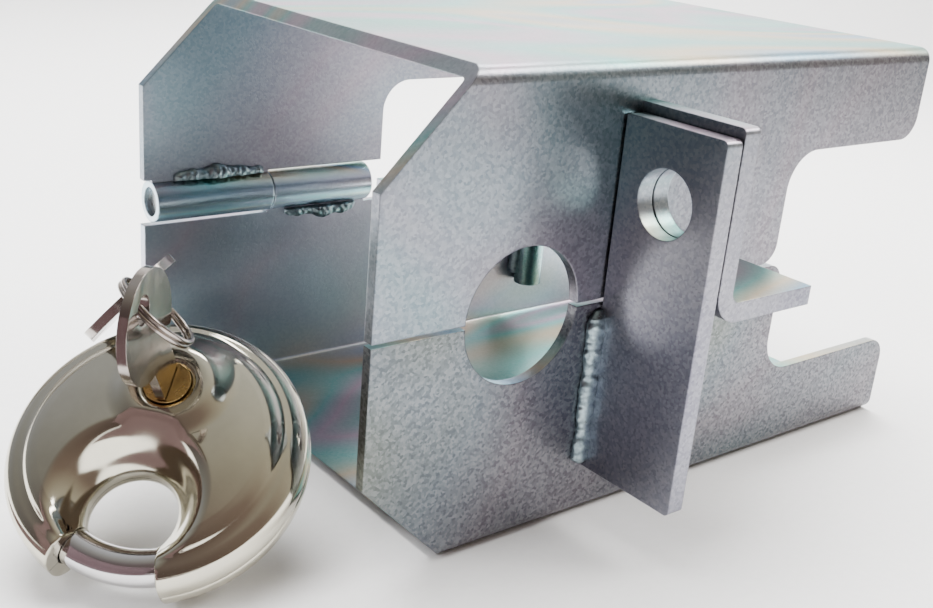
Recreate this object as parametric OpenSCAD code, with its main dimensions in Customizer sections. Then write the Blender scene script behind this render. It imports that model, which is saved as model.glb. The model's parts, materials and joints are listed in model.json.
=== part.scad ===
// Trailer coupler lock: a two-part folded steel case that closes round a
// coupler, and the 70 mm disc padlock that locks its hasp.
// +X runs along the case, away from its open left end. +Z is up and the
// near wall, with the neck hole, faces -Y. The origin is the centre of the
// lower shell's length and width, on its flat base. Millimetres.

/* [Case] */
// Length of the lower shell along X
lower_length = 205.6; // [200:0.2:214]
// Length of the upper shell along X
upper_length = 196.6; // [190:0.2:199]
// Width of the closed case, outside
case_width = 122; // [120:0.5:126]
// Height of the closed case
case_height = 121.2; // [119:0.2:123]
// Steel thickness of both shells
wall = 3; // [2.8:0.1:3.2]
// Outside radius of the folded edges
bend_radius = 4; // [3.5:0.25:5]
// Height of the line where the two shells meet
split_height = 61.4; // [60:0.1:62.4]
// Gap between the two shells along that line
split_gap = 1; // [0.6:0.1:1.4]
// Slope at the open end: its reach along X on each shell
chamfer_run = 25.2; // [24:0.2:27]
// Slope at the open end: its height on each shell
chamfer_rise = 25.6; // [24:0.2:27]

/* [Neck hole] */
// Radius of the hole that closes round the coupler's neck
neck_radius = 17.5; // [16:0.1:18]
// Distance of the neck hole from the open end
neck_x = 43.2; // [42:0.2:45]

/* [Side openings] */
// Length of the upper shell's near wall
upper_near_length = 137.8; // [134:0.2:140]
// Length of the lower shell's near wall
lower_near_length = 142; // [140:0.2:145]
// Length of the upper shell's far wall
upper_far_length = 81.8; // [80:0.2:84]
// Length of the lower shell's far wall
lower_far_length = 156; // [155:0.2:160]
// Height of the upper shell's side arms
upper_arm = 27.2; // [26:0.2:29]
// Height of the lower shell's side arms
lower_arm = 26.4; // [25:0.2:28]

/* [Hinge] */
// Outside radius of the hinge tubes
tube_radius = 6.1; // [6:0.1:6.4]
// Radius of the hinge pin
pin_radius = 4.3; // [4:0.1:4.5]
// Radial play of the pin in the lower tube
pin_play = 0.05; // [0.02:0.01:0.09]
// Radial room round a tube where the other shell is cut back
tube_room = 0.65; // [0.5:0.05:1]
// Start of the upper shell's tube along X
upper_tube_start = 2.4; // [2:0.2:4]
// Meeting place of the two tubes
tube_joint_x = 40.2; // [40:0.1:41]
// End of the lower shell's tube along X
lower_tube_end = 75.8; // [74:0.2:77]

/* [Hasp] */
// Reach of the hasp plates in front of the near wall
hasp_reach = 31.5; // [30:0.5:34]
// Near face, along X, of the hasp plate on the lower shell
hasp_x = 69.2; // [69:0.1:70]
// Thickness of the hasp plates
hasp_thickness = 5; // [4.6:0.1:5.2]
// Height of the hasp plate's lower end
hasp_bottom = 15; // [13:0.5:18]
// Height of the hasp plate's upper end
hasp_top = 109; // [107:0.5:111]
// Gap between the two plates
plate_gap = 0.6; // [0.4:0.1:0.8]
// Height of the bracket's upper end
bracket_top = 111.5; // [110:0.5:113.5]
// Height of the bracket's lower face
bracket_bottom = 64.4; // [63.6:0.1:65.6]
// Length of the bracket's foot along X
bracket_foot = 35.8; // [34:0.2:38]
// Radius of the padlock hole through both plates
hasp_hole_radius = 8.5; // [7:0.1:9]
// Height of the padlock hole
hasp_hole_height = 90.5; // [89:0.1:92]
// Distance of the padlock hole in front of the near wall
hasp_hole_reach = 15.8; // [15:0.1:17]

/* [Locating bar] */
// Radius of the bar welded inside the far wall
bar_radius = 5; // [4.5:0.1:5.5]
// Place of the bar along X
bar_x = 148; // [144:0.5:149]
// Height of the bar's lower end
bar_bottom = 17.2; // [15:0.2:20]
// Height of the bar's upper end
bar_top = 56.5; // [52:0.5:58.5]

/* [Padlock] */
// Radius of the padlock's disc
disc_radius = 35; // [35:0.1:35.4]
// Thickness of its stainless shells
shell_skin = 1.6; // [1.5:0.05:1.7]
// Centre of the throat below the disc's centre
throat_offset = 16.3; // [16:0.1:16.6]
// Radius of the throat
throat_radius = 10.4; // [10:0.1:10.5]
// Radius of the dished recess round the throat
dish_radius = 16.4; // [16:0.1:16.6]
// Half of the angle that the mouth takes out of the rim
mouth_half_angle = 22; // [21:0.5:23]
// Radius of the shackle's round bar
shackle_radius = 4.25; // [4:0.05:4.3]
// Radius of the circle that the shackle turns on
shackle_path = 27.6; // [27.4:0.1:27.8]
// Centre of the lock cylinder above the disc's centre
cylinder_offset = 11.8; // [11.6:0.1:12]
// Radius of the brass plug
plug_radius = 5.5; // [5.4:0.05:5.5]
// Angle that the key leans clockwise of the padlock's upright
key_lean = -5; // [-8:1:5]

/* [Keys] */
// Radius of a key's round bow
bow_radius = 13; // [12.6:0.1:13.2]
// Thickness of a key
key_thickness = 2.2; // [2:0.1:2.3]
// Width of a key's blade at its shoulder
blade_width = 7.6; // [7.4:0.1:7.8]
// Mean radius of the split ring
ring_radius = 9.7; // [9.5:0.1:9.9]

/* [Hidden] */
$fn = 48;
over = 1;

// ---- case ----
upper_bottom = split_height + split_gap / 2;
lower_top = split_height - split_gap / 2;
hinge_y = case_width - wall / 2;
hinge_height = split_height;
room_radius = tube_radius + tube_room;
far_inner = case_width - wall;
bracket_x = hasp_x + hasp_thickness + plate_gap;
tube_gap = 0.4;

// ---- padlock, in its own frame: z is the face normal, y points at the key side
disc_x = -31.1;
disc_y = 38.7;
disc_z = 24.8;
disc_tilt = 35;
disc_heading = -134;
disc_lean = 84;
rim_height = 4.6;
face_height = 13.2;
dish_bottom = 2.5;
boss_height = 14.8;
boss_base = 13.6;
boss_top = 11.8;
case_room = 0.2;
track_room = 0.25;
bushing_radius = 7.2;
plug_play = 0.05;
plug_front = boss_height + 0.2;
housing_back = -5.6;
plug_back = -7.4;
cam_thickness = 1.8;
bible_half_width = 3;
bible_length = 12;
bible_half_depth = 6;
pin_stack = [-4.5, -1.5, 1.5, 4.5];
tumbler_radius = 1.2;
tumbler_play = 0.05;
shear = plug_radius;
blade_bottom = -4.3;
blade_end = -6.6;
cut_step = 0.55;
shoulder_z = plug_front + 0.6;
bow_z = 38;
bow_hole_z = bow_z + 6.2;
bow_hole_radius = 3.4;
ring_wire = 0.6;

// Moves case coordinates, which start at the open end, into the part's frame.
module in_case() {
    translate([-lower_length / 2, -case_width / 2, 0]) children();
}

// Extrudes a drawing of X across and Z up along Y, from y_start to y_end.
module side_cut(y_start, y_end) {
    translate([0, y_end, 0]) rotate([90, 0, 0]) linear_extrude(y_end - y_start) children();
}

// The bit between a right-angled corner at the origin and its round of radius r.
module corner(r) {
    difference() {
        translate([-over, -over]) square(r + over);
        translate([r, r]) circle(r);
    }
}

// A slab with rounded long edges on top, drawn across Y and Z.
module folded_outline(width, height, r) {
    translate([0, -over]) square([width, height - r + over]);
    translate([r, height - r - over]) square([width - 2 * r, r + over]);
    translate([r, height - r]) circle(r);
    translate([width - r, height - r]) circle(r);
}

// A channel of the given length and height, open below.
module channel(length, height) {
    rotate([90, 0, 90]) linear_extrude(length) difference() {
        folded_outline(case_width, height, bend_radius);
        translate([wall, 0])
            folded_outline(case_width - 2 * wall, height - wall, bend_radius - wall);
        translate([-over, -2 * over]) square([case_width + 2 * over, 2 * over]);
    }
}

// What is cut from one wall of a channel: the slope at the open end, and the
// opening beyond wall_length, which leaves an arm under the top.
module wall_cuts(height, length, wall_length, arm, fillet, lobe_round, tip_round) {
    polygon([
        [-over, height - chamfer_rise - over * chamfer_rise / chamfer_run],
        [chamfer_run + over, height + over * chamfer_rise / chamfer_run],
        [-over, height + over * chamfer_rise / chamfer_run]
    ]);
    arm_bottom = height - arm;
    difference() {
        translate([wall_length, -over]) square([length - wall_length + over, arm_bottom + over]);
        translate([wall_length, arm_bottom]) mirror([0, 1]) corner(fillet);
    }
    translate([wall_length, 0]) mirror([1, 0]) corner(lobe_round);
    translate([length, arm_bottom]) mirror([1, 0]) corner(tip_round);
}

// A half case with its open side down and its base up.
module half_case(length, height, near_length, far_length, arm, lobe_round) {
    difference() {
        channel(length, height);
        side_cut(-over, case_width / 2)
            wall_cuts(height, length, near_length, arm, 11, lobe_round, 7);
        side_cut(case_width / 2, case_width + over)
            wall_cuts(height, length, far_length, arm, 10, 5, 7);
    }
}

module neck_cut() {
    translate([neck_x, wall + over, split_height]) rotate([90, 0, 0])
        cylinder(r = neck_radius, h = wall + 2 * over, $fn = 96);
}

module along_hinge(start, end, r) {
    translate([start, hinge_y, hinge_height]) rotate([0, 90, 0]) cylinder(r = r, h = end - start);
}

// The block cut from the far walls along the hinge, on both sides of its line.
module hinge_room(start, end) {
    translate([start, far_inner - over, hinge_height - room_radius])
        cube([end - start, wall + 2 * over, 2 * room_radius]);
}

module upper_shell() {
    color("lightsteelblue") in_case() difference() {
        translate([0, 0, upper_bottom])
            half_case(upper_length, case_height - upper_bottom, upper_near_length,
                      upper_far_length, upper_arm, 6);
        neck_cut();
        hinge_room(tube_joint_x, upper_far_length + over);
        hinge_room(-over, upper_tube_start);
        along_hinge(0, tube_joint_x + over, tube_radius);
    }
}

module lower_shell() {
    color("lightsteelblue") in_case() difference() {
        translate([0, 0, lower_top]) mirror([0, 0, 1])
            half_case(lower_length, lower_top, lower_near_length, lower_far_length, lower_arm, 5);
        neck_cut();
        hinge_room(-over, tube_joint_x);
        hinge_room(lower_tube_end, upper_far_length + over);
        along_hinge(tube_joint_x - over, lower_tube_end + over, tube_radius);
    }
}

module upper_hinge_tube() {
    color("cadetblue") in_case() difference() {
        along_hinge(upper_tube_start, tube_joint_x - tube_gap / 2, tube_radius);
        along_hinge(0, tube_joint_x + over, pin_radius);
    }
}

module lower_hinge_tube() {
    color("thistle") in_case() difference() {
        along_hinge(tube_joint_x + tube_gap / 2, lower_tube_end, tube_radius);
        along_hinge(tube_joint_x - over, lower_tube_end + over, pin_radius + pin_play);
    }
}

module hinge_pin() {
    color("silver") in_case() along_hinge(upper_tube_start + 1.6, lower_tube_end - 1, pin_radius);
}

// A hasp plate standing in front of the near wall, from x_start, with the padlock hole.
module plate(x_start, bottom, top, gap, corner_round) {
    difference() {
        translate([x_start, -hasp_reach, 0]) rotate([90, 0, 90]) linear_extrude(hasp_thickness)
            difference() {
                translate([0, bottom]) square([hasp_reach - gap, top - bottom]);
                translate([0, bottom]) corner(corner_round);
                translate([0, top]) mirror([0, 1]) corner(corner_round);
                translate([hasp_reach - gap, top]) rotate(180) corner(corner_round);
            }
        hasp_bore();
    }
}

module hasp_bore() {
    translate([hasp_x - over, -hasp_hole_reach, hasp_hole_height]) rotate([0, 90, 0])
        cylinder(r = hasp_hole_radius, h = 2 * hasp_thickness + plate_gap + 2 * over, $fn = 72);
}

module hasp_plate() {
    color("slategray") in_case() difference() {
        plate(hasp_x, hasp_bottom, hasp_top, 0, 1.5);
        translate([hasp_x - over, -0.6, lower_top - over])
            cube([hasp_thickness + 2 * over, over + 0.6, hasp_top]);
    }
}

// The bracket's L, drawn in X and Z with its outer bend rounded.
module bracket_section(bend) {
    difference() {
        translate([0, bracket_bottom]) square([bracket_foot, bracket_top - bracket_bottom]);
        translate([0, bracket_bottom]) corner(bend);
        translate([hasp_thickness, bracket_bottom + hasp_thickness]) difference() {
            square([bracket_foot, bracket_top]);
            corner(bend - hasp_thickness);
        }
    }
}

module hasp_bracket() {
    color("slategray") in_case() {
        difference() {
            translate([bracket_x, 0, 0]) rotate([90, 0, 0]) linear_extrude(hasp_reach)
                bracket_section(8);
            translate([bracket_x - over, -hasp_reach, bracket_top]) rotate([90, 0, 90])
                linear_extrude(hasp_thickness + 2 * over) mirror([0, 1]) corner(1.5);
            hasp_bore();
        }
    }
}

module locating_bar() {
    color("silver") in_case()
        translate([bar_x, far_inner - bar_radius, bar_bottom])
            cylinder(r = bar_radius, h = bar_top - bar_bottom);
}

// A weld bead along X inside the case, in the corner between a hinge tube and
// its wall: above the tube when side is 1 and below it when side is -1.
module hinge_bead(start, end, side) {
    bead_radius = 3.4;
    difference() {
        translate([start, far_inner + 0.6, hinge_height + side * (tube_radius + 0.5)])
            rotate([0, 90, 0]) cylinder(r = bead_radius, h = end - start);
        translate([start - over, far_inner, 0])
            cube([end - start + 2 * over, case_width, case_height]);
        along_hinge(start - over, end + over, tube_radius);
    }
}

module upper_hinge_weld() {
    color("lavender") in_case() hinge_bead(9, 38, 1);
}

module lower_hinge_weld() {
    color("lavender") in_case() hinge_bead(46, 72, -1);
}

// A fillet weld in the corner of two faces: a round bead that fills the corner
// and stands a little proud, from the origin along z.
module corner_bead(leg, length) {
    intersection() {
        translate([leg * 0.2, leg * 0.2, 0]) cylinder(r = leg * 0.95, h = length);
        cube([2 * leg, 2 * leg, length]);
    }
}

module hasp_plate_weld() {
    color("lavender") in_case() translate([hasp_x, 0, hasp_bottom + 1])
        rotate([0, 0, 180]) corner_bead(4, 43);
}

module hasp_bracket_weld() {
    color("lavender") in_case()
        translate([bracket_x + hasp_thickness, 0, bracket_bottom + 14])
            rotate([0, 0, -90]) corner_bead(4, 32);
}

module locating_bar_weld() {
    color("lavender") in_case() difference() {
        translate([bar_x - bar_radius * 0.75, far_inner, bar_bottom + 4])
            intersection() {
                translate([0, -2.2, 0]) cylinder(r = 3.2, h = 14);
                translate([-10, -20, 0]) cube([20, 20, 14]);
            }
        translate([bar_x, far_inner - bar_radius, 0]) cylinder(r = bar_radius, h = case_height);
    }
}

// ---------------------------------------------------------------- padlock

// Moves the padlock's own frame to where it lies, tilted towards the near left.
module in_padlock() {
    in_case() translate([disc_x, disc_y, disc_z])
        rotate([0, disc_tilt, disc_heading]) rotate([0, 0, disc_lean]) children();
}

// The lock cylinder's frame: its axis is z and the pins stand towards +y.
module in_cylinder() {
    in_padlock() translate([0, cylinder_offset, 0]) rotate([0, 0, -key_lean]) children();
}

// One half of the disc, made smaller by skin all round.
module dome(skin) {
    rotate_extrude($fn = 96) polygon([
        [0, 0], [disc_radius - skin, 0], [disc_radius - skin, rim_height],
        [disc_radius - 1.3 - skin, rim_height + 2.8 - skin],
        [disc_radius - 5.2 - skin, rim_height + 4.2 - skin],
        [disc_radius - 6.4 - skin, rim_height + 5.2 - skin],
        [18, face_height - 1.2 - skin], [0, face_height - skin]
    ]);
}

// The opening through the disc, made wider by skin: throat, dish and mouth.
module opening(skin) {
    translate([0, -throat_offset, -over]) cylinder(r = throat_radius + skin, h = 20);
    translate([0, -throat_offset, dish_bottom - skin * 0.5])
        cylinder(r1 = throat_radius + skin, r2 = dish_radius + skin + 2, h = boss_height - dish_bottom);
    translate([0, 0, -over]) linear_extrude(20) {
        reach = disc_radius + 10;
        spread = tan(mouth_half_angle);
        translate([0, skin / sin(mouth_half_angle)]) polygon([
            [-throat_offset * spread, -throat_offset], [-reach * spread, -reach],
            [reach * spread, -reach], [throat_offset * spread, -throat_offset]
        ]);
    }
}

// The boss that holds the lock cylinder, made smaller by skin.
module boss(skin) {
    translate([0, cylinder_offset, 0]) {
        cylinder(r = boss_base - skin, h = 9);
        translate([0, 0, 9])
            cylinder(r1 = boss_base - skin, r2 = boss_top - skin, h = boss_height - 9 - skin);
    }
}

// The ring-shaped track of the shackle, from one angle to another.
module ring_arc(r, from, to) {
    rotate([0, 0, from]) rotate_extrude(angle = to - from, $fn = 96)
        translate([shackle_path, 0]) circle(r);
}

module half_shell(with_boss) {
    difference() {
        union() {
            dome(0);
            if (with_boss) intersection() {
                boss(0);
                cylinder(r = disc_radius, h = 20);
            }
        }
        opening(0);
        difference() {
            translate([0, 0, -0.001]) union() {
                dome(shell_skin);
                if (with_boss) boss(shell_skin);
            }
            opening(shell_skin);
        }
        ring_arc(shackle_radius + track_room, 225, 315);
        if (with_boss) translate([0, cylinder_offset, 0])
            cylinder(r = plug_radius + 0.3, h = 20);
    }
}

module padlock_front_shell() {
    color("lightgoldenrodyellow") in_padlock() half_shell(true);
}

module padlock_back_shell() {
    color("silver") in_padlock() mirror([0, 0, 1]) half_shell(false);
}

// The space that the lock cylinder and its cam take inside the case.
module cylinder_room(room) {
    translate([0, cylinder_offset, 0]) rotate([0, 0, -key_lean]) {
        translate([0, 0, housing_back - room]) cylinder(r = bushing_radius + room, h = 40);
        translate([-bible_half_width - room, 0, -bible_half_depth - room])
            cube([2 * (bible_half_width + room), bible_length + room, 2 * (bible_half_depth + room)]);
        translate([0, 0, plug_back - cam_thickness - 0.2]) cylinder(r = 9, h = 4.2);
    }
}

module lock_case_half(with_boss) {
    difference() {
        union() {
            dome(shell_skin + case_room);
            if (with_boss) boss(shell_skin + case_room);
        }
        opening(shell_skin + case_room);
        ring_arc(shackle_radius + track_room, 222, 432);
        mirror([0, 0, with_boss ? 0 : 1]) cylinder_room(case_room);
    }
}

module lock_case_front() {
    color("dimgray") in_padlock() lock_case_half(true);
}

module lock_case_back() {
    color("dimgray") in_padlock() mirror([0, 0, 1]) lock_case_half(false);
}

module padlock_shackle() {
    color("gainsboro") in_padlock() ring_arc(shackle_radius, 236, 365);
}

module cylinder_housing() {
    color("goldenrod") in_cylinder() difference() {
        union() {
            translate([0, 0, housing_back])
                cylinder(r = bushing_radius, h = boss_height - shell_skin - 0.4 - housing_back);
            translate([-bible_half_width, 0, -bible_half_depth])
                cube([2 * bible_half_width, bible_length, 2 * bible_half_depth]);
        }
        translate([0, 0, -20]) cylinder(r = plug_radius + plug_play, h = 40);
        for (z = pin_stack)
            translate([0, shear - 0.5, z]) rotate([-90, 0, 0])
                cylinder(r = tumbler_radius + tumbler_play, h = bible_length - shear - 0.3);
    }
}

module driver_pins() {
    color("khaki") in_cylinder() for (z = pin_stack)
        translate([0, shear + 0.12, z]) rotate([-90, 0, 0]) cylinder(r = tumbler_radius, h = 2.4);
}

// Points of a small coil spring along y: rings of points on a helix.
spring_start = shear + 2.6;
spring_length = bible_length - 0.9 - spring_start;
spring_turns = 4;
spring_steps = 10;
spring_sides = 5;
spring_coil = 0.9;
spring_wire = 0.2;

function coil_point(step, side) =
    let (turn = 360 * step / spring_steps, around = 360 * side / spring_sides,
         reach = spring_coil + spring_wire * cos(around))
    [reach * cos(turn),
     spring_wire + (spring_length - 2 * spring_wire) * step / (spring_turns * spring_steps)
         + spring_wire * sin(around),
     reach * sin(turn)];

module coil_spring() {
    last = spring_turns * spring_steps;
    points = [for (step = [0:last], side = [0:spring_sides - 1]) coil_point(step, side)];
    walls = [for (step = [0:last - 1], side = [0:spring_sides - 1])
        let (a = step * spring_sides + side, b = step * spring_sides + (side + 1) % spring_sides)
        [a, b, b + spring_sides, a + spring_sides]];
    start_cap = [[for (side = [spring_sides - 1:-1:0]) side]];
    end_cap = [[for (side = [0:spring_sides - 1]) last * spring_sides + side]];
    polyhedron(points, concat(walls, start_cap, end_cap));
}

module pin_springs() {
    color("whitesmoke") in_cylinder() for (z = pin_stack)
        translate([0, spring_start, z]) coil_spring();
}

// Height of the key's cut under each key pin: it steps down towards the tip.
function cut_height(z) = 2.9 - cut_step * (pin_stack[3] - z) / 3;

module cylinder_plug() {
    color("gold") in_cylinder() difference() {
        translate([0, 0, plug_back]) cylinder(r = plug_radius, h = plug_front - plug_back);
        translate([-key_thickness / 2 - 0.1, blade_bottom - 0.1, blade_end - 0.2])
            cube([key_thickness + 0.2, 3.5 - blade_bottom, 40]);
        for (z = pin_stack)
            translate([0, 0, z]) rotate([-90, 0, 0])
                cylinder(r = tumbler_radius + tumbler_play, h = 10);
    }
}

module key_pins() {
    color("khaki") in_cylinder() for (z = pin_stack)
        translate([0, cut_height(z) + 0.02, z]) rotate([-90, 0, 0])
            cylinder(r = tumbler_radius, h = shear - 0.2 - cut_height(z) - 0.02);
}

module drive_cam() {
    color("tan") in_cylinder() translate([0, 0, plug_back - cam_thickness]) {
        cylinder(r = 5, h = cam_thickness);
        translate([-2, 0, 0]) cube([4, 8.2, cam_thickness]);
    }
}

module cam_clip() {
    clip_thickness = 0.4;
    color("lightgray") in_cylinder()
    translate([0, 0, -bible_half_depth - 0.1 - clip_thickness]) difference() {
        cylinder(r = 6.9, h = clip_thickness);
        translate([0, 0, -over]) cylinder(r = plug_radius, h = 3);
        translate([-1.5, -10, -over]) cube([3, 10, 3]);
    }
}

// A key with its blade along -z, its cuts towards +y and its bow above.
module key_blank() {
    translate([-key_thickness / 2, 0, 0]) rotate([90, 0, 90]) linear_extrude(key_thickness)
        difference() {
            union() {
                translate([0, bow_z]) circle(bow_radius, $fn = 72);
                translate([-blade_width / 2 - 1, shoulder_z])
                    square([blade_width + 2, bow_z - shoulder_z - 6]);
                polygon([
                    [blade_bottom, shoulder_z + over], [blade_bottom, blade_end + 1.5],
                    [blade_bottom + 1.5, blade_end], [0, blade_end],
                    for (i = [0:3])
                        each [[cut_height(pin_stack[i]), pin_stack[i] - 1.6],
                              [cut_height(pin_stack[i]), pin_stack[i] + 1.4]],
                    [3.3, pin_stack[3] + 2.2], [3.3, shoulder_z + over]
                ]);
            }
            translate([0, bow_hole_z]) circle(bow_hole_radius, $fn = 48);
        }
}

module key() {
    color("lightgray") in_cylinder() key_blank();
}

// Frames of the ring and the spare key, in the lock cylinder's frame. The ring
// passes through the key's bow and round its far edge to the spare key.
function unit(v) = v / norm(v);
function squared(v, to) = unit(v - (v * to) * to);
ring_centre = [0.3, 5.4, 35.6];
ring_to_key = unit([-0.03, -0.55, 0.83]);
ring_side = squared([-0.79, 0.53, 0.32], ring_to_key);
spare_hole = [-6.8, 11.9, 33.4];
spare_out = unit([0.5, -0.23, 0.84]);
spare_across = squared([0.44, 0.9, -0.02], spare_out);

// Puts a shape at a point, with its x and z turned to two square directions.
module oriented(at, x_dir, z_dir) {
    y_dir = cross(z_dir, x_dir);
    multmatrix([
        [x_dir[0], y_dir[0], z_dir[0], at[0]],
        [x_dir[1], y_dir[1], z_dir[1], at[1]],
        [x_dir[2], y_dir[2], z_dir[2], at[2]],
        [0, 0, 0, 1]
    ]) children();
}

module key_ring() {
    color("silver") in_cylinder()
        oriented(ring_centre, ring_to_key, cross(ring_to_key, ring_side))
            rotate_extrude($fn = 72) translate([ring_radius, 0]) {
                translate([0, ring_wire]) circle(ring_wire, $fn = 24);
                translate([0, -ring_wire]) circle(ring_wire, $fn = 24);
                square([ring_wire, 2 * ring_wire], center = true);
            }
}

module spare_key() {
    color("lightgray") in_cylinder()
        oriented(spare_hole - bow_hole_z * spare_out, cross(spare_out, spare_across), spare_out)
            key_blank();
}

upper_shell();
lower_shell();
upper_hinge_tube();
lower_hinge_tube();
hinge_pin();
hasp_plate();
hasp_bracket();
locating_bar();
upper_hinge_weld();
lower_hinge_weld();
hasp_plate_weld();
hasp_bracket_weld();
locating_bar_weld();
padlock_front_shell();
padlock_back_shell();
lock_case_front();
lock_case_back();
padlock_shackle();
cylinder_housing();
driver_pins();
pin_springs();
cylinder_plug();
key_pins();
drive_cam();
cam_clip();
key();
key_ring();
spare_key();
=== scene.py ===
"""Looks of the trailer coupler lock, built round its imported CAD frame, in metres.

The zinc-plated case keeps its CAD solids, whose edges the finishes round off.
The padlock's pressed shells, the weld beads and the split ring are finer
meshes that stand for their CAD nodes.
"""

import json
import math
import random

import bmesh
import bpy
import numpy as np
from mathutils import Matrix, Vector


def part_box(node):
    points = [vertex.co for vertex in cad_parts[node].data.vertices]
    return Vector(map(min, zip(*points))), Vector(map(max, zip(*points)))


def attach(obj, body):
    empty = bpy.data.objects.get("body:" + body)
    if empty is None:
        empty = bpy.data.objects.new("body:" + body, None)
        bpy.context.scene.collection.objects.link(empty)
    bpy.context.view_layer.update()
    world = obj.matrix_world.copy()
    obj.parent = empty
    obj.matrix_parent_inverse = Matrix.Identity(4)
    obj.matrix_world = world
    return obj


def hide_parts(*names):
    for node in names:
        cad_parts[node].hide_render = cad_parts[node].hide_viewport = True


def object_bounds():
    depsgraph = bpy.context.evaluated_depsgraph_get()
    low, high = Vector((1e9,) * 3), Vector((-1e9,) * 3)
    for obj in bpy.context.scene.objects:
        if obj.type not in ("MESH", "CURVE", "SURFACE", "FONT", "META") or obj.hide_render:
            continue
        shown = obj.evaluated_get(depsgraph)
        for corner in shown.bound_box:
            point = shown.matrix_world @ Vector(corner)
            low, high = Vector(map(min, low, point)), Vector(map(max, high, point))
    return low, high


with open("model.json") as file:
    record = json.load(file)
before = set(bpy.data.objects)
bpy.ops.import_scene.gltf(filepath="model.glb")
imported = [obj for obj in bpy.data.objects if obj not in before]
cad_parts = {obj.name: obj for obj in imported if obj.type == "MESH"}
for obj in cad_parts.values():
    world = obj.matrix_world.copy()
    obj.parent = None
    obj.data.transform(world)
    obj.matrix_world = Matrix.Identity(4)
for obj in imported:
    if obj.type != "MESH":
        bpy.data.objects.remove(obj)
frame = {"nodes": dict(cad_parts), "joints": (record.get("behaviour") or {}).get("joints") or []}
CAD_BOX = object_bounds()
NODES = frame["nodes"]
JOINTS = {joint["name"]: joint for joint in frame["joints"]}
MM = 0.001

# ---------------------------------------------------------------- shader helpers

# Upward share of a face's normal up to which it is a wall, painted as shaded, and from which it is
# a top, painted as lit.
WALL_TILT, TOP_TILT = 0.45, 0.85
# Half of the case's width and length, over which the painted shade on its walls drifts in
# brightness.
HALF_WIDTH, HALF_LENGTH = 0.05, 0.1
BEVEL_SAMPLES = 4
BLACK, WHITE = (0.0, 0.0, 0.0), (1.0, 1.0, 1.0)


class Nodes:
    """A node tree, with short calls for the nodes that the finishes and the world share."""

    def __init__(self, tree, coordinates):
        self.tree = tree
        self.place = self.node("TexCoord").outputs[coordinates]

    def link(self, value, socket):
        """Sets a socket to a constant, or joins it to another node's output."""
        if isinstance(value, bpy.types.NodeSocket):
            self.tree.links.new(value, socket)
        elif socket.type == "RGBA":
            socket.default_value = (*value, 1.0)
        else:
            socket.default_value = value

    def node(self, kind, **inputs):
        """A new node with its inputs set or joined by name, _ standing for a space."""
        node = self.tree.nodes.new(f"ShaderNode{kind}")
        for name, value in inputs.items():
            self.link(value, node.inputs[name.replace("_", " ")])
        return node

    def stretched(self, scale):
        """The object's coordinates, scaled differently along X, Y and Z."""
        return self.node("Mapping", Vector=self.place, Scale=scale).outputs["Vector"]

    def noise(self, scale, detail=3.0, roughness=0.5, distortion=0.0, place=None):
        node = self.node("TexNoise", Vector=place or self.place, Scale=scale, Detail=detail,
                         Roughness=roughness, Distortion=distortion)
        return node.outputs["Fac"]

    def cells(self, scale):
        """A random grey for each small crystal of the surface."""
        crystals = self.node("TexVoronoi", Vector=self.place, Scale=scale)
        return self.node("SeparateColor", Color=crystals.outputs["Color"]).outputs["Red"]

    def ramp(self, value, stops):
        """Colours along a value: stops is a list of (place, colour)."""
        node = self.node("ValToRGB", Fac=value)
        elements = node.color_ramp.elements
        while len(elements) < len(stops):
            elements.new(0.5)
        for element, (place, colour) in zip(elements, stops):
            element.position = place
            element.color = (*colour, 1.0)
        return node.outputs["Color"]

    def span(self, value, low, high, start=0.0, end=1.0):
        """value, mapped from low..high to start..end and held there outside."""
        node = self.node("MapRange", Value=value, From_Min=low, From_Max=high, To_Min=start,
                         To_Max=end)
        return node.outputs["Result"]

    def mix(self, share, first, second, how="MIX"):
        node = self.node("Mix")
        node.data_type = "RGBA"
        node.blend_type = how
        for name, value in (("Factor", share), ("A", first), ("B", second)):
            self.link(value, node.inputs[name])
        return node.outputs["Result"]


class Shader(Nodes):
    """The material of a metal or a paint, placed by its object's own coordinates."""

    def __init__(self, name):
        self.material = bpy.data.materials.new(name)
        self.material.use_nodes = True
        super().__init__(self.material.node_tree, "Object")
        self.surface = self.tree.nodes["Principled BSDF"]

    def bump(self, height, distance, strength, under=None):
        """Normals tilted by a height, on top of the normals under it."""
        node = self.node("Bump", Height=height, Distance=distance, Strength=strength)
        if under:
            self.link(under, node.inputs["Normal"])
        return node.outputs["Normal"]

    def rounded(self, radius):
        """Normals that run round sharp edges, as on a plated or tumbled piece."""
        node = self.node("Bevel", Radius=radius)
        node.samples = BEVEL_SAMPLES
        return node.outputs["Normal"]

    def facing_up(self):
        """1 on up-facing faces of the piece in its own frame, painted as lit; 0 on its walls,
        painted as shaded.
        """
        normal = self.node("TexCoord").outputs["Normal"]
        split = self.node("SeparateXYZ", Vector=normal)
        return self.span(split.outputs["Z"], WALL_TILT, TOP_TILT)

    def painted_shading(self, colour, across, along):
        """A colour with painted shade: its brightness drifts over the piece's own Y and X."""
        split = self.node("SeparateXYZ", Vector=self.place)
        for output, reach, ends in (("Y", HALF_WIDTH, across), ("X", HALF_LENGTH, along)):
            painted_shade = self.span(split.outputs[output], -reach, reach, *ends)
            grey = self.node("CombineXYZ", X=painted_shade, Y=painted_shade, Z=painted_shade)
            colour = self.mix(1.0, colour, grey.outputs["Vector"], "MULTIPLY")
        return colour

    def finish(self, colour, roughness, metallic=1.0, normal=None):
        """The material, once its surface has its colour, roughness and normals."""
        self.link(colour, self.surface.inputs["Base Color"])
        self.link(roughness, self.surface.inputs["Roughness"])
        self.link(metallic, self.surface.inputs["Metallic"])
        if normal:
            self.link(normal, self.surface.inputs["Normal"])
        return self.material


# ---------------------------------------------------------------- finishes


# Where a noise's useful range begins, and how wide it is.
NOISE_START, NOISE_WIDTH = 0.32, 0.36
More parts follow.
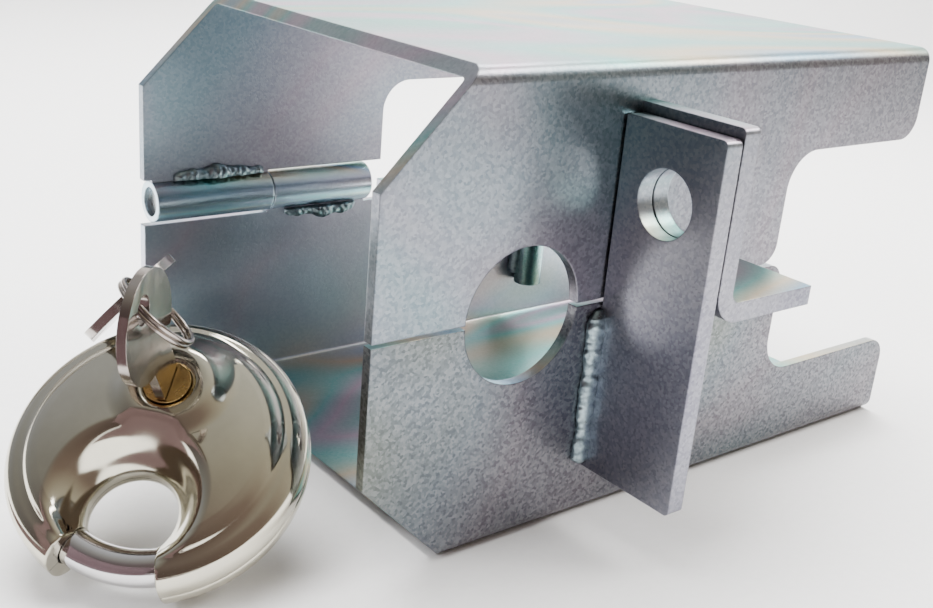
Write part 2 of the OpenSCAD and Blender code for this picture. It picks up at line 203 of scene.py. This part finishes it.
# Radius of the rounded edges of plated sheet, and of pressed or machined metal, in metres.
PLATE_EDGE, FINE_EDGE = 0.0006, 0.0003


def spaced(tints):
    """Ramp stops at even steps through the middle of a noise's range."""
    places = [NOISE_START + NOISE_WIDTH * i / (len(tints) - 1) for i in range(len(tints))]
    return list(zip(places, tints))


def zinc(name, tints, rough=(0.27, 0.4), patch=9.0, across=(1.0, 1.0), along=(1.0, 1.0)):
    """Zinc plate: pastel tints drawn bright on its upper faces as painted light, darker on its
    walls as painted shade, drifting in tint.

    Fine crystals make it sparkle, and the rolled sheet under it has a faint grain.
    across and along paint shade on the walls: how bright they are drawn from front to back
    and from the open end to the far end.
    """
    s = Shader(name)
    drift = s.noise(patch, detail=2.0, roughness=0.5, distortion=0.8)
    # Painted shade: the walls are drawn darker or lighter depending on where they lie on the
    # piece.
    shaded_walls = s.painted_shading(s.ramp(drift, spaced(tints)), across, along)
    bands = s.noise(patch * 0.9, detail=1.0, distortion=1.4,
                    place=s.stretched((0.55, 1.3, 1.0)))
    lit_tops = s.ramp(bands, spaced(LIT_TOP_TINTS))
    # Painted light: the upper faces take the bright lit tints and the walls take the darker shaded
    # ones.
    colour = s.mix(s.facing_up(), shaded_walls, lit_tops)
    cloud = s.span(s.noise(30.0, detail=3.0), 0.3, 0.7, 0.95, 1.04)
    colour = s.mix(1.0, colour, s.mix(cloud, BLACK, WHITE), "MULTIPLY")
    crystal = s.cells(1350.0)
    speck = s.span(crystal, 0.0, 1.0, 0.0, 0.13)
    colour = s.mix(speck, colour, (0.93, 0.95, 0.97), "SCREEN")
    smear = s.noise(70.0, detail=5.0, roughness=0.6, place=s.stretched((0.35, 1.0, 1.0)))
    roughness = s.span(smear, 0.3, 0.7, rough[0], rough[1])
    pebble = s.bump(crystal, 0.00003, 0.5, s.rounded(PLATE_EDGE))
    grain = s.bump(s.noise(2300.0, detail=2.0), 0.00005, 0.5, pebble)
    wave = s.bump(s.noise(26.0, detail=1.0), 0.0006, 0.25, grain)
    return s.finish(colour, roughness, normal=wave)


def weld_metal():
    """Plated weld: teal grey, with bright flecks and dull, dark ones."""
    s = Shader("weld_metal")
    fleck = s.noise(520.0, detail=5.0, roughness=0.65)
    colour = s.ramp(fleck, [(0.3, (0.12, 0.15, 0.18)), (0.46, (0.25, 0.32, 0.35)),
                            (0.6, (0.33, 0.42, 0.45)), (0.74, (0.55, 0.62, 0.64))])
    roughness = s.span(fleck, 0.3, 0.7, 0.45, 0.25)
    return s.finish(colour, roughness, normal=s.bump(fleck, 0.0001, 0.4))


def polished(name, colour, low=0.07, high=0.2, wave_scale=38.0, wave_depth=0.0004):
    """Polished metal: faint haze, fine wipe marks and the slow waves of pressed sheet."""
    s = Shader(name)
    haze = s.noise(90.0, detail=6.0, roughness=0.65)
    wipe = s.noise(1500.0, detail=2.0, place=s.stretched((1.0, 0.15, 0.15)))
    dull = tuple(0.72 * c for c in colour)
    tint = s.mix(s.span(haze, 0.35, 0.7, 0.0, 0.3), colour, dull)
    wave = s.bump(s.noise(wave_scale, detail=1.0), wave_depth, 0.3, s.rounded(FINE_EDGE))
    fine = s.bump(wipe, 0.00001, 0.25, wave)
    return s.finish(tint, s.span(haze, 0.3, 0.75, low, high), normal=fine)


def cast_metal():
    """Zinc alloy as cast: grey, dull and faintly grained."""
    s = Shader("cast_metal")
    grain = s.noise(900.0, detail=4.0)
    colour = s.ramp(grain, [(0.3, (0.2, 0.2, 0.21)), (0.7, (0.42, 0.42, 0.43))])
    roughness = s.span(grain, 0.3, 0.7, 0.4, 0.65)
    return s.finish(colour, roughness, normal=s.bump(grain, 0.0001, 0.5))


def turned(name, colour, low=0.16, high=0.34):
    """Machined metal with fine turning lines and a little tarnish."""
    s = Shader(name)
    lines = s.noise(2600.0, detail=1.0, place=s.stretched((1.0, 0.3, 0.3)))
    tarnish = s.noise(160.0, detail=5.0, roughness=0.6)
    dark = tuple(0.5 * c for c in colour)
    tint = s.mix(s.span(tarnish, 0.45, 0.75, 0.0, 0.45), colour, dark)
    normal = s.bump(lines, 0.00002, 0.4, s.rounded(FINE_EDGE))
    return s.finish(tint, s.span(tarnish, 0.3, 0.7, low, high), normal=normal)


def matt_paint(name, low, high):
    """Matt paper with a faint tooth, its colour between low and high."""
    s = Shader(name)
    tooth = s.noise(420.0, detail=3.0)
    colour = s.ramp(tooth, [(0.3, low), (0.7, high)])
    return s.finish(colour, 0.85, metallic=0.0, normal=s.bump(tooth, 0.00005, 0.1))


# Tints of the plating, with painted light: bright as lit on every upper face, darker as painted
# shade on the walls of the case and the hasp.
LIT_TOP_TINTS = [(0.2, 0.56, 0.5), (0.6, 0.48, 0.58), (0.26, 0.62, 0.58), (0.72, 0.62, 0.44),
               (0.3, 0.52, 0.7), (0.4, 0.68, 0.54)]
SHADED_CASE_TINTS = [(0.19, 0.27, 0.31), (0.24, 0.27, 0.32), (0.29, 0.26, 0.31), (0.24, 0.29, 0.34),
              (0.28, 0.32, 0.29)]
SHADED_PLATE_TINTS = [(0.19, 0.25, 0.28), (0.22, 0.22, 0.26), (0.16, 0.16, 0.21), (0.21, 0.24, 0.27)]
# Painted shade on the walls: the near walls are drawn darker and the far walls lighter (across),
# and the walls get darker along X (along).
ZINC_UPPER = zinc("zinc_upper", SHADED_CASE_TINTS, across=(0.74, 1.35), along=(1.0, 0.58))
ZINC_LOWER = zinc("zinc_lower", SHADED_CASE_TINTS[::-1], across=(0.46, 2.4), along=(0.86, 0.6))
ZINC_PLATE = zinc("zinc_hasp", SHADED_PLATE_TINTS)
ZINC_TUBE = zinc("zinc_tube", [(0.5, 0.8, 0.9), (0.6, 0.68, 0.78), (0.66, 0.6, 0.68)],
                 rough=(0.16, 0.26), patch=22.0)
WELD = weld_metal()
ZINC_BAR = zinc("zinc_bar", [(0.22, 0.42, 0.42), (0.4, 0.5, 0.5)], rough=(0.14, 0.24), patch=30.0)
STAINLESS = polished("stainless", (0.6, 0.57, 0.47), low=0.06, high=0.16)
CHROME = polished("chrome", (0.66, 0.65, 0.66), low=0.05, high=0.14)
NICKEL = polished("nickel", (0.4, 0.36, 0.33), low=0.1, high=0.24, wave_scale=200.0)
BRASS = turned("brass", (0.62, 0.42, 0.17))
STEEL_PIN = turned("pin_steel", (0.42, 0.45, 0.46))
DIE_CAST = cast_metal()
BACKDROP = matt_paint("backdrop_paint", (0.93, 0.93, 0.93), (0.96, 0.96, 0.96))
CARD_PAINT = matt_paint("card_paint", (0.07, 0.045, 0.05), (0.09, 0.06, 0.065))

FINISHES = {
    "upper_shell": ZINC_UPPER, "lower_shell": ZINC_LOWER, "upper_hinge_tube": ZINC_TUBE,
    "lower_hinge_tube": ZINC_TUBE, "hinge_pin": STEEL_PIN, "hasp_plate": ZINC_PLATE,
    "hasp_bracket": ZINC_PLATE, "locating_bar": ZINC_BAR, "lock_case_front": DIE_CAST,
    "lock_case_back": DIE_CAST, "padlock_shackle": CHROME, "cylinder_housing": BRASS,
    "driver_pins": BRASS, "pin_springs": STEEL_PIN, "cylinder_plug": BRASS,
    "key_pins": BRASS, "drive_cam": STEEL_PIN, "cam_clip": STEEL_PIN, "key": NICKEL,
    "key_ring": NICKEL, "spare_key": NICKEL, "padlock_front_shell": STAINLESS,
    "padlock_back_shell": STAINLESS, "upper_hinge_weld": WELD, "lower_hinge_weld": WELD,
    "hasp_plate_weld": WELD, "hasp_bracket_weld": WELD, "locating_bar_weld": WELD,
}


for node_name, finish in FINISHES.items():
    NODES[node_name].data.materials.clear()
    NODES[node_name].data.materials.append(finish)

# ---------------------------------------------------------------- mesh helpers

# Points closer than this are one point, in metres.
WELD_DISTANCE = 0.000002
# Points that a smooth curve has between two given ones, before they are spaced evenly.
CURVE_FINENESS = 40


def new_piece(name, points, faces, material, body, replaced=(), smooth_angle=35.0):
    """A closed mesh in the row frame that rides on a CAD body."""
    mesh = bpy.data.meshes.new(name)
    mesh.from_pydata([tuple(p) for p in points], [], faces)
    mesh.validate()
    bm = bmesh.new()
    bm.from_mesh(mesh)
    bmesh.ops.remove_doubles(bm, verts=bm.verts, dist=WELD_DISTANCE)
    bmesh.ops.recalc_face_normals(bm, faces=bm.faces)
    bm.to_mesh(mesh)
    bm.free()
    piece = bpy.data.objects.new(name, mesh)
    bpy.context.scene.collection.objects.link(piece)
    mesh.shade_smooth()
    mesh.set_sharp_from_angle(angle=math.radians(smooth_angle))
    mesh.materials.append(material)
    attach(piece, body)
    if replaced:
        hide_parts(*replaced)


def grid_faces(rows, columns, start=0, wrap=False):
    """Quads between rows of points that were listed one row after another."""
    faces = []
    for i in range(rows - 1):
        for j in range(columns if wrap else columns - 1):
            k = (j + 1) % columns
            faces.append((start + i * columns + j, start + i * columns + k,
                          start + (i + 1) * columns + k, start + (i + 1) * columns + j))
    return faces


def soft_least(a, b, width):
    """The smaller of two heights, with a round of about width where they cross."""
    share = np.clip(0.5 + 0.5 * (b - a) / width, 0.0, 1.0)
    return b + (a - b) * share - width * share * (1.0 - share)


def soft_most(a, b, width):
    """The greater of two heights, with a round where they cross."""
    return -soft_least(-a, -b, width)


def smooth_curve(points, count):
    """count points at even steps along a smooth curve through the given ones."""
    pts = np.array(points, float)
    ends = np.vstack([2 * pts[0] - pts[1], pts, 2 * pts[-1] - pts[-2]])
    fine = []
    for i in range(len(pts) - 1):
        a, b, c, d = ends[i:i + 4]
        for t in np.linspace(0, 1, CURVE_FINENESS, endpoint=i == len(pts) - 2):
            fine.append(0.5 * (2 * b + (c - a) * t + (2 * a - 5 * b + 4 * c - d) * t * t
                               + (3 * b - a - 3 * c + d) * t ** 3))
    fine = np.array(fine)
    run = np.concatenate([[0], np.cumsum(np.linalg.norm(np.diff(fine, axis=0), axis=1))])
    even = np.linspace(0, run[-1], count)
    return np.column_stack([np.interp(even, run, fine[:, k]) for k in range(pts.shape[1])])


# ---------------------------------------------------------------- padlock shells

# The padlock's own frame: z is the face normal and y points at the key side.
SHACKLE_JOINT = JOINTS["shackle_turn"]
PLUG_JOINT = JOINTS["plug_turn"]
DISC_CENTRE = Vector(SHACKLE_JOINT["pos_m"])
DISC_NORMAL = Vector(SHACKLE_JOINT["axis"]).normalized()
KEY_SIDE = Vector(PLUG_JOINT["pos_m"]) - DISC_CENTRE
KEY_SIDE = (KEY_SIDE - KEY_SIDE.dot(DISC_NORMAL) * DISC_NORMAL).normalized()
DISC_FRAME = Matrix((KEY_SIDE.cross(DISC_NORMAL), KEY_SIDE, DISC_NORMAL)).transposed()

# Where the plug and the throat are along y, and the sizes at the mouth, in millimetres.
PLUG_OFFSET = (Vector(PLUG_JOINT["pos_m"]) - DISC_CENTRE).dot(KEY_SIDE) / MM
THROAT_OFFSET = -16.3
MOUTH_ANGLE = math.radians(22.0)
SHACKLE_PATH = 27.6
SHACKLE_HOLE = 4.55
PLUG_HOLE = 5.8
# Half the gap at the seam between the two shells.
SEAM = 0.06
# How round the shell is where it meets the mouth, and how deep its wall goes in there.
EDGE_ROUND = 0.7
WALL_DEPTH = 3.0
# How widely the boss and the dish blend into the face.
BOSS_BLEND, DISH_BLEND = 1.6, 5.0
# Height at which the rim starts to follow the boss and the dish, and how soon it does fully.
FOLLOW_START, FOLLOW_RISE = 2.0, 5.0
# The plug's well: its depth, the least height of the boss's top, and the width of its edge.
WELL_DEPTH, BOSS_TOP, WELL_EDGE = 3.0, 10.0, 0.13
# Rows of points up the rim, over the face and down the throat, and points in a row.
RIM_ROWS, FACE_ROWS, THROAT_ROWS, COLUMNS = 44, 110, 16, 640
PROFILE_POINTS = 900
# Radius and height along the shell, from the rim's seam to the face's centre.
RIM_PROFILE = [(34.75, 0.06), (34.98, 0.5), (34.95, 2.2), (34.55, 4.1), (33.5, 5.9), (31.9, 7.1),
               (30.3, 7.6), (29.3, 8.05), (28.4, 8.95), (27.2, 9.75), (25.5, 10.4)]
FACE_PROFILE = [(0.0, 13.1), (8.0, 12.85), (15.0, 12.3), (20.0, 11.6), (25.5, 10.4), (27.2, 9.75),
                (28.4, 8.95), (29.3, 8.05), (30.3, 7.6), (31.9, 7.1), (33.5, 5.9), (35.0, 2.0)]
# Distance from the boss's axis and height.
BOSS_PROFILE = [(0.0, 14.3), (5.6, 14.35), (6.6, 14.7), (8.4, 14.75), (9.8, 14.45), (11.2, 13.7),
                (12.6, 12.6), (14.2, 11.2), (16.5, 9.0), (19.4, 6.0), (22.0, 3.0)]
# Distance from the throat's axis and height of the dished recess. The first points, as
# many as THROAT_STEPS, are the throat's own wall.
DISH_PROFILE = [(10.4, 0.06), (10.45, 1.4), (10.9, 2.6), (12.0, 4.1), (13.6, 6.0), (15.2, 8.3),
                (16.7, 10.8), (18.0, 13.2), (19.4, 16.0), (21.0, 19.5), (23.0, 24.0)]
THROAT_STEPS = 5


def local_to_row(points):
    """Points in the padlock's frame, in millimetres, as points in the row frame."""
    turn = np.array(DISC_FRAME)
    return np.asarray(points) * MM @ turn.T + np.array(DISC_CENTRE)


def height_of(profile, distance):
    """Height of a profile at a distance from its axis."""
    curve = smooth_curve(profile, PROFILE_POINTS)
    return np.interp(distance, curve[:, 0], curve[:, 1])


def face_height(x, y, with_boss):
    """Height of the pressed shell over a point of the disc."""
    height = height_of(FACE_PROFILE, np.hypot(x, y))
    if with_boss:
        boss = height_of(BOSS_PROFILE, np.hypot(x, y - PLUG_OFFSET))
        height = soft_most(height, boss, BOSS_BLEND)
    dish = height_of(DISH_PROFILE, np.hypot(x, y - THROAT_OFFSET))
    return soft_least(height, dish, DISH_BLEND)


def mouth_reach(radius, centre_y):
    """How far from the disc's centre a circle meets the mouth's straight edge."""
    middle = -centre_y * math.cos(MOUTH_ANGLE)
    return middle + math.sqrt(middle ** 2 - centre_y ** 2 + radius ** 2)


def arc_between_edges(radius, centre_y):
    """Points of a circle, from one edge of the mouth round the top to the other."""
    reach = mouth_reach(radius, centre_y)
    start = math.atan2(-reach * math.cos(MOUTH_ANGLE) - centre_y, reach * math.sin(MOUTH_ANGLE))
    angles = np.linspace(start, math.pi - start, COLUMNS)
    return radius * np.cos(angles), centre_y + radius * np.sin(angles)


def shell_rows(with_boss):
    """Rows of points from the seam up the rim, across the face and down the throat."""
    for radius, height in smooth_curve(RIM_PROFILE, RIM_ROWS)[:-1]:
        x, y = arc_between_edges(radius, 0.0)
        lift = face_height(x, y, with_boss) - height_of(FACE_PROFILE, np.hypot(x, y))
        share = np.clip((height - FOLLOW_START) / FOLLOW_RISE, 0.0, 1.0)
        yield x, y, height + lift * share
    outer = arc_between_edges(RIM_PROFILE[-1][0], 0.0)
    throat = smooth_curve(DISH_PROFILE[:THROAT_STEPS], THROAT_ROWS)[::-1]
    inner = arc_between_edges(throat[0][0], THROAT_OFFSET)
    for share in np.linspace(0.0, 1.0, FACE_ROWS)[:-1]:
        x, y = (a + (b - a) * share for a, b in zip(outer, inner))
        yield x, y, face_height(x, y, with_boss)
    for radius, height in throat:
        x, y = arc_between_edges(radius, THROAT_OFFSET)
        yield x, y, np.minimum(face_height(x, y, with_boss), height)


def rounded_down(x, y, z):
    """Heights that fall away in a round beside the mouth's two edges."""
    edge = np.abs(x) * math.cos(MOUTH_ANGLE) + y * math.sin(MOUTH_ANGLE)
    short = np.where(y < THROAT_OFFSET, np.maximum(EDGE_ROUND - edge, 0.0), 0.0)
    drop = EDGE_ROUND - np.sqrt(np.maximum(EDGE_ROUND ** 2 - short ** 2, 0.0))
    return np.maximum(z - drop, SEAM)


def pressed_shell(name, node, with_boss, side):
    """Half of the padlock's body: rim, face, boss and dish, closed at the mouth's edges."""
    x, y, z = (np.array(values) for values in zip(*shell_rows(with_boss)))
    z = rounded_down(x, y, z)
    points = np.column_stack([x.ravel(), y.ravel(), z.ravel()])
    points, faces = close_mouth(points, grid_faces(len(x), COLUMNS), x, y, z)
    if with_boss:
        points = plug_well(points)
    points[:, 2] *= side
    new_piece(name, local_to_row(points), faces, STAINLESS, "padlock", [node])


def close_mouth(points, faces, x, y, z):
    """Adds the two flat walls at the mouth's edges, each with the shackle's half hole."""
    points = list(points)
    rows = len(x)
    for column, inside in ((0, 1), (COLUMNS - 1, -1)):
        outline = [row * COLUMNS + column for row in range(rows)]
        reach = np.hypot(x[:, column], y[:, column])
        run = np.concatenate([[0], np.cumsum(np.hypot(np.diff(reach), np.diff(z[:, column])))])
        along = np.array([x[0, column], y[0, column]]) / reach[0]
        inward = np.array([-along[1], along[0]]) * inside
        hole, deep = [], []
        for share in run / run[-1]:
            turn = math.pi * share
            radius = SHACKLE_PATH + SHACKLE_HOLE * math.cos(turn)
            hole.append(len(points))
            points.append(np.array([*(along * radius), max(SEAM, SHACKLE_HOLE * math.sin(turn))]))
        for index in hole:
            deep.append(len(points))
            points.append(points[index] + np.array([*(inward * WALL_DEPTH), 0.0]))
        for first, second in ((outline, hole), (hole, deep)):
            for i in range(rows - 1):
                faces.append((first[i], first[i + 1], second[i + 1], second[i]))
    return np.array(points), faces


def plug_well(points):
    """Cuts the boss's top down round the brass plug, with a clean round edge."""
    offset = points[:, :2] - np.array([0.0, PLUG_OFFSET])
    distance = np.hypot(offset[:, 0], offset[:, 1])
    on_top = points[:, 2] > BOSS_TOP
    edge = on_top & (np.abs(distance - PLUG_HOLE) < WELL_EDGE)
    points[edge, :2] += offset[edge] * (PLUG_HOLE / distance[edge] - 1.0)[:, None]
    points[on_top & (distance <= PLUG_HOLE - WELL_EDGE), 2] -= WELL_DEPTH
    return points


pressed_shell("padlock_front_skin", "padlock_front_shell", with_boss=True, side=1)
pressed_shell("padlock_back_skin", "padlock_back_shell", with_boss=False, side=-1)

# ---------------------------------------------------------------- weld beads

WALL_X, WALL_Y, WALL_Z = Vector((1, 0, 0)), Vector((0, 1, 0)), Vector((0, 0, 1))
# Millimetres: how a bead's blunt ends taper, its ripples' spacing and bow, how deep its
# root goes, how far apart its rings of points are, and how many points are in each.
BEAD_END, BEAD_TAPER = 0.5, 2.2
RIPPLE_SPACING, RIPPLE_BOW = 2.3, 1.6
RIPPLE_HEIGHT = 0.03
BEAD_ROOT = 0.3
BEAD_STEP, BEAD_AROUND = 0.2, 26
# Legs of the beads at the hasp and at the hinge, and how far a hinge bead's corner lies
# inside its CAD weld.
HASP_LEGS, HINGE_LEGS = (4.5, 2.8), (2.7, 3.2)
HINGE_INSET = 1.6 * MM


def bead_swell(s, length, phases, lumps):
    """How far a bead stands out at s millimetres along it, as a share of its leg."""
    taper = min(1.0, (s + BEAD_END) / BEAD_TAPER, (length - s + BEAD_END) / BEAD_TAPER)
    wobble = (0.13 * math.sin(s / 2.9 + phases[0]) + 0.1 * math.sin(s / 1.3 + phases[1])
              + 0.07 * math.sin(s / 5.3 + phases[2]))
    return math.sqrt(taper) * (1.0 + lumps * wobble)


def weld_bead(node, body, start, end, sides, legs, seed, lumps):
    """A fillet weld along a corner: overlapping ripples, uneven in width, with round ends.

    sides are the directions away from the corner along its two faces, and legs,
    in millimetres, how far the weld reaches along each.
    """
    rng = random.Random(seed)
    start, end = Vector(start), Vector(end)
    length = (end - start).length / MM
    along = (end - start).normalized()
    steps = int(length / BEAD_STEP)
    phases = [rng.uniform(0, 6.28) for _ in range(5)]
    points = []
    for i in range(steps + 1):
        s = length * i / steps
        swell = bead_swell(s, length, phases, lumps)
        for j in range(BEAD_AROUND + 1):
            turn = (math.pi / 2) * j / BEAD_AROUND
            bow = math.sin(2 * turn)
            phase = (s - RIPPLE_BOW * bow) / RIPPLE_SPACING * 2 * math.pi
            wave = math.sin(phase + 0.9 * math.sin(0.8 * s + phases[3]))
            ripple = 1.0 + RIPPLE_HEIGHT * lumps * wave
            pimple = 1.0 + RIPPLE_HEIGHT * lumps * math.sin(5 * turn + 1.7 * s + phases[4])
            share = swell * ripple * pimple * (0.84 + 0.18 * bow)
            across = sides[0] * legs[0] * math.cos(turn) + sides[1] * legs[1] * math.sin(turn)
            points.append(start + (along * s + across * share) * MM)
        points.append(start + (along * s - (sides[0] + sides[1]) * BEAD_ROOT) * MM)
    row = BEAD_AROUND + 2
    faces = grid_faces(steps + 1, row, wrap=True)
    faces.append(tuple(range(row)))
    faces.append(tuple(steps * row + k for k in reversed(range(row))))
    new_piece(f"{node}_bead", points, faces, WELD, body, [node], smooth_angle=60.0)


def hasp_beads():
    """The upright beads that hold the two hasp plates to the near wall."""
    low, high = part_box("hasp_plate_weld")
    weld_bead("hasp_plate_weld", "lower_case", (high.x, high.y, low.z), (high.x, high.y, high.z),
              (-WALL_X, -WALL_Y), HASP_LEGS, seed=3, lumps=0.5)
    low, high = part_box("hasp_bracket_weld")
    weld_bead("hasp_bracket_weld", "upper_case", (low.x, high.y, low.z), (low.x, high.y, high.z),
              (WALL_X, -WALL_Y), HASP_LEGS, seed=5, lumps=0.6)


def hinge_beads():
    """The lumpy beads inside the far wall, over one hinge tube and under the other."""
    low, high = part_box("upper_hinge_weld")
    z = low.z + HINGE_INSET
    weld_bead("upper_hinge_weld", "upper_case", (low.x, high.y, z), (high.x, high.y, z),
              (-WALL_Y, WALL_Z), HINGE_LEGS, seed=11, lumps=1.3)
    low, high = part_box("lower_hinge_weld")
    z = high.z - HINGE_INSET
    weld_bead("lower_hinge_weld", "lower_case", (low.x, high.y, z), (high.x, high.y, z),
              (-WALL_Y, -WALL_Z), HINGE_LEGS, seed=12, lumps=1.3)


hasp_beads()
hinge_beads()

# ---------------------------------------------------------------- split ring

# The ring's side, along the axis it swings on, square to that, and along the disc's normal.
RING_SIDE = (-0.79, 0.53, 0.32)
# Radii of the ring and its wire in millimetres, and the wire's slack against its other turn.
RING_RADIUS = 9.7
RING_WIRE = 0.6
RING_SLACK = 0.97
# Angle of the wire's ends in radians, and how sharply one turn crosses over to the next.
RING_START = 2.4
RING_CROSSING = 5.0
RING_STEPS, RING_AROUND = 300, 14


def split_ring():
    """Two turns of wire, pressed flat together, with their ends cut square."""
    swing = JOINTS["ring_swing"]
    along_x, along_z = Vector(swing["axis"]).normalized(), DISC_NORMAL
    along_y = along_z.cross(along_x)
    local = Matrix((along_x, along_y, along_z)).transposed()
    low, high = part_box("key_ring")
    centre = (low + high) / 2
    to_key = (Vector(swing["pos_m"]) - centre).normalized()
    side = local @ Vector(RING_SIDE)
    side = (side - side.dot(to_key) * to_key).normalized()
    face = to_key.cross(side)
    points = []
    for i in range(RING_STEPS + 1):
        turn = 4 * math.pi * i / RING_STEPS + RING_START
        lean = RING_WIRE * math.tanh(RING_CROSSING * (2.0 * i / RING_STEPS - 1.0))
        out = to_key * math.cos(turn) + side * math.sin(turn)
        for j in range(RING_AROUND):
            angle = 2 * math.pi * j / RING_AROUND
            wide = RING_WIRE * RING_SLACK * math.cos(angle)
            deep = lean + RING_WIRE * RING_SLACK * math.sin(angle)
            points.append(centre + (out * (RING_RADIUS + wide) + face * deep) * MM)
    faces = grid_faces(RING_STEPS + 1, RING_AROUND, wrap=True)
    faces.append(tuple(range(RING_AROUND)))
    faces.append(tuple(RING_STEPS * RING_AROUND + k for k in reversed(range(RING_AROUND))))
    new_piece("split_ring", points, faces, NICKEL, "ring", ["key_ring"])


split_ring()

# ---------------------------------------------------------------- light and camera


# The paper floor, in metres: half its width, how far it runs to the front and to the back,
# the radius of its curve, the height it rises to, and how far it lies below the object.
FLOOR_HALF, FLOOR_FRONT, FLOOR_BACK = 2.2, -2.2, 0.9
SWEEP_RADIUS, SWEEP_TOP = 0.4, 1.4
FLOOR_GAP = 0.0001
FLOOR_TURN = math.radians(-39.6)
# The wall all round: where its curve starts, the curve's radius and its top.
WALL_START, WALL_RADIUS, WALL_TOP = 1.6, 0.5, 2.6
WALL_SIDES = 48


def area_light(name, place, target, size, power, colour=(1, 1, 1), shown=True):
    """A rectangular light that the camera doesn't see. shown: whether metal mirrors it."""
    data = bpy.data.lights.new(name, "AREA")
    data.shape = "RECTANGLE"
    data.size, data.size_y = size
    data.energy = power
    data.color = colour
    lamp = bpy.data.objects.new(name, data)
    lamp.location = place
    lamp.rotation_euler = (Vector(target) - Vector(place)).to_track_quat("-Z", "Y").to_euler()
    lamp.visible_camera = False
    lamp.visible_glossy = shown
    bpy.context.scene.collection.objects.link(lamp)


def stage_mesh(name, points, faces, material):
    """A mesh of the studio, which isn't part of the object."""
    mesh = bpy.data.meshes.new(name)
    mesh.from_pydata(points, [], faces)
    mesh.shade_smooth()
    mesh.materials.append(material)
    piece = bpy.data.objects.new(name, mesh)
    bpy.context.scene.collection.objects.link(piece)
    return piece


def floor_and_sweep():
    """A pale floor that curves up behind the object, and a pale wall all round."""
    arc = np.linspace(0, math.pi / 2, 14)
    profile = [(FLOOR_BACK + SWEEP_RADIUS * math.sin(t), SWEEP_RADIUS - SWEEP_RADIUS * math.cos(t))
               for t in arc]
    profile = [(FLOOR_FRONT, 0.0), *profile, (FLOOR_BACK + SWEEP_RADIUS, SWEEP_TOP)]
    across = Vector((math.cos(FLOOR_TURN), math.sin(FLOOR_TURN), 0))
    away = Vector((-math.sin(FLOOR_TURN), math.cos(FLOOR_TURN), 0))
    points = [across * side + away * depth + Vector((0, 0, height - FLOOR_GAP))
              for depth, height in profile for side in (-FLOOR_HALF, FLOOR_HALF)]
    stage_mesh("floor", points, grid_faces(len(profile), 2), BACKDROP)
    rounds = np.linspace(0, 2 * math.pi, WALL_SIDES, endpoint=False)
    levels = [(WALL_START + WALL_RADIUS * math.sin(t), 0.499 - WALL_RADIUS * math.cos(t))
              for t in arc]
    levels.append((WALL_START + WALL_RADIUS, WALL_TOP))
    points = [(r * math.cos(t), r * math.sin(t), z) for r, z in levels for t in rounds]
    wall = stage_mesh("wall", points, grid_faces(len(levels), WALL_SIDES, wrap=True), BACKDROP)
    wall.visible_glossy = wall.visible_diffuse = wall.visible_shadow = False


def dark_card():
    """Dark brown paper beside the padlock, flat and then upright, seen only in reflections."""
    corners = [(x, y, z) for x, z in ((-0.19, 0.0005), (-0.5, 0.0005), (-0.5, 0.3))
               for y in (-0.36, 0.04)]
    card = stage_mesh("dark_card", corners, grid_faces(3, 2), CARD_PAINT)
    card.visible_camera = card.visible_diffuse = card.visible_shadow = False


def studio_world():
    """A studio round the object: bright behind it, dark brown before it, warmer to the right."""
    world = bpy.data.worlds.new("studio")
    bpy.context.scene.world = world
    world.use_nodes = True
    studio = Nodes(world.node_tree, "Generated")

    def towards(direction, stops):
        """Colours from the side that faces away from a direction to the side it points at."""
        dot = studio.node("VectorMath")
        dot.operation = "DOT_PRODUCT"
        studio.link(studio.place, dot.inputs[0])
        studio.link(Vector(direction).normalized(), dot.inputs[1])
        return studio.ramp(studio.span(dot.outputs["Value"], -1.0, 1.0), stops)

    across = towards((0.6, 0.75, 0.25), [(0.0, (0.16, 0.12, 0.12)), (0.3, (0.3, 0.24, 0.23)),
                                         (0.52, (0.62, 0.6, 0.55)), (0.75, (0.95, 0.97, 1.0)),
                                         (1.0, (1.0, 1.0, 1.0))])
    sides = towards((0.78, -0.62, 0.0), [(0.0, (0.45, 0.46, 0.5)), (0.3, (0.62, 0.62, 0.62)),
                                         (0.55, (0.9, 0.88, 0.8)), (0.8, (1.0, 0.95, 0.84))])
    background = studio.tree.nodes["Background"]
    studio.link(studio.mix(1.0, across, sides, "MULTIPLY"), background.inputs["Color"])
    studio.link(1.0, background.inputs["Strength"])


floor_and_sweep()
dark_card()
studio_world()
MIDDLE = (CAD_BOX[0] + CAD_BOX[1]) / 2
area_light("top_softbox", place=(0.1, 0.25, 0.9), target=MIDDLE, size=(0.9, 0.9), power=34.0,
           colour=(1.0, 0.99, 0.98), shown=False)
area_light("left_softbox", place=(-0.8, -0.1, 0.55), target=MIDDLE, size=(0.35, 0.6), power=6.0,
           colour=(0.97, 0.98, 1.0), shown=False)
area_light("bend_softbox", place=(0.62, -0.36, 0.75), target=MIDDLE, size=(0.5, 0.3), power=7.0,
           colour=(1.0, 0.98, 0.96))
area_light("back_wash", place=(0.55, 0.45, 1.1), target=(0.75, 0.85, 0.2), size=(0.8, 0.4),
           power=18.0)


def photo_camera():
    """The photograph's viewpoint: near the open end's near corner, above the case."""
    eye = Vector((-235.68, -252.47, 159.46)) * MM
    right = Vector((0.78723, -0.61099, 0.08338)).normalized()
    forward = Vector((0.59763, 0.72261, -0.34738)).normalized()
    up = right.cross(forward).normalized()
    right = forward.cross(up).normalized()
    data = bpy.data.cameras.new("camera")
    data.lens = 45.02
    data.sensor_width = 36.0
    camera = bpy.data.objects.new("camera", data)
    turn = Matrix((right, up, -forward)).transposed().to_4x4()
    camera.matrix_world = Matrix.Translation(eye) @ turn
    bpy.context.scene.collection.objects.link(camera)
    bpy.context.scene.camera = camera


photo_camera()
